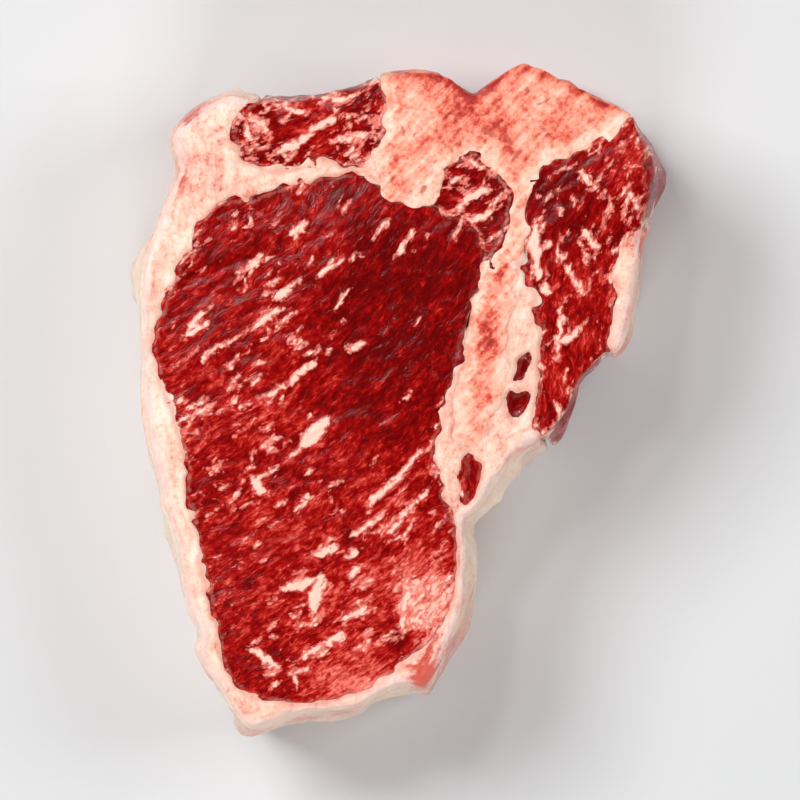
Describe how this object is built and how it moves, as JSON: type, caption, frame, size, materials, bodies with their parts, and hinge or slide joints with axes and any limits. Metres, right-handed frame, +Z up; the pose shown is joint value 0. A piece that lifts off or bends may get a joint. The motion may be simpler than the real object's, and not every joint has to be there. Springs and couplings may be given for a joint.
{
  "type": "raw lamb loin chop",
  "caption": "Raw lamb loin chop, one thick slice with a T-shaped bone, loin eye, fillet, small muscles and a fat rim, lying on its cut face.",
  "frame": {"origin": "middle of the chop's bounding box, on the surface that its lower cut face lies on", "axes": "+Z up out of the upper cut face, +Y along the chop towards the backbone, +X towards the fillet"},
  "size_m": [0.0612, 0.0768, 0.026],
  "materials": {
    "lamb_fat": "satin, waxy raw fat",
    "lean_meat": "moist raw lean with pale marbling",
    "dark_lean": "moist dark raw lean",
    "sawn_bone": "sawn bone, pale rim and pink marrow"
  },
  "bodies": {
    "root": {"fat": "lamb_fat", "flap_of_fat": "lamb_fat", "loin_eye": "lean_meat", "fillet": "lean_meat", "back_strip": "lean_meat", "notch_muscle": "lean_meat", "flank_sliver": "dark_lean", "lower_nodule": "dark_lean", "upper_nodule": "dark_lean", "t_bone": "sawn_bone"}
  },
  "joints": []
}
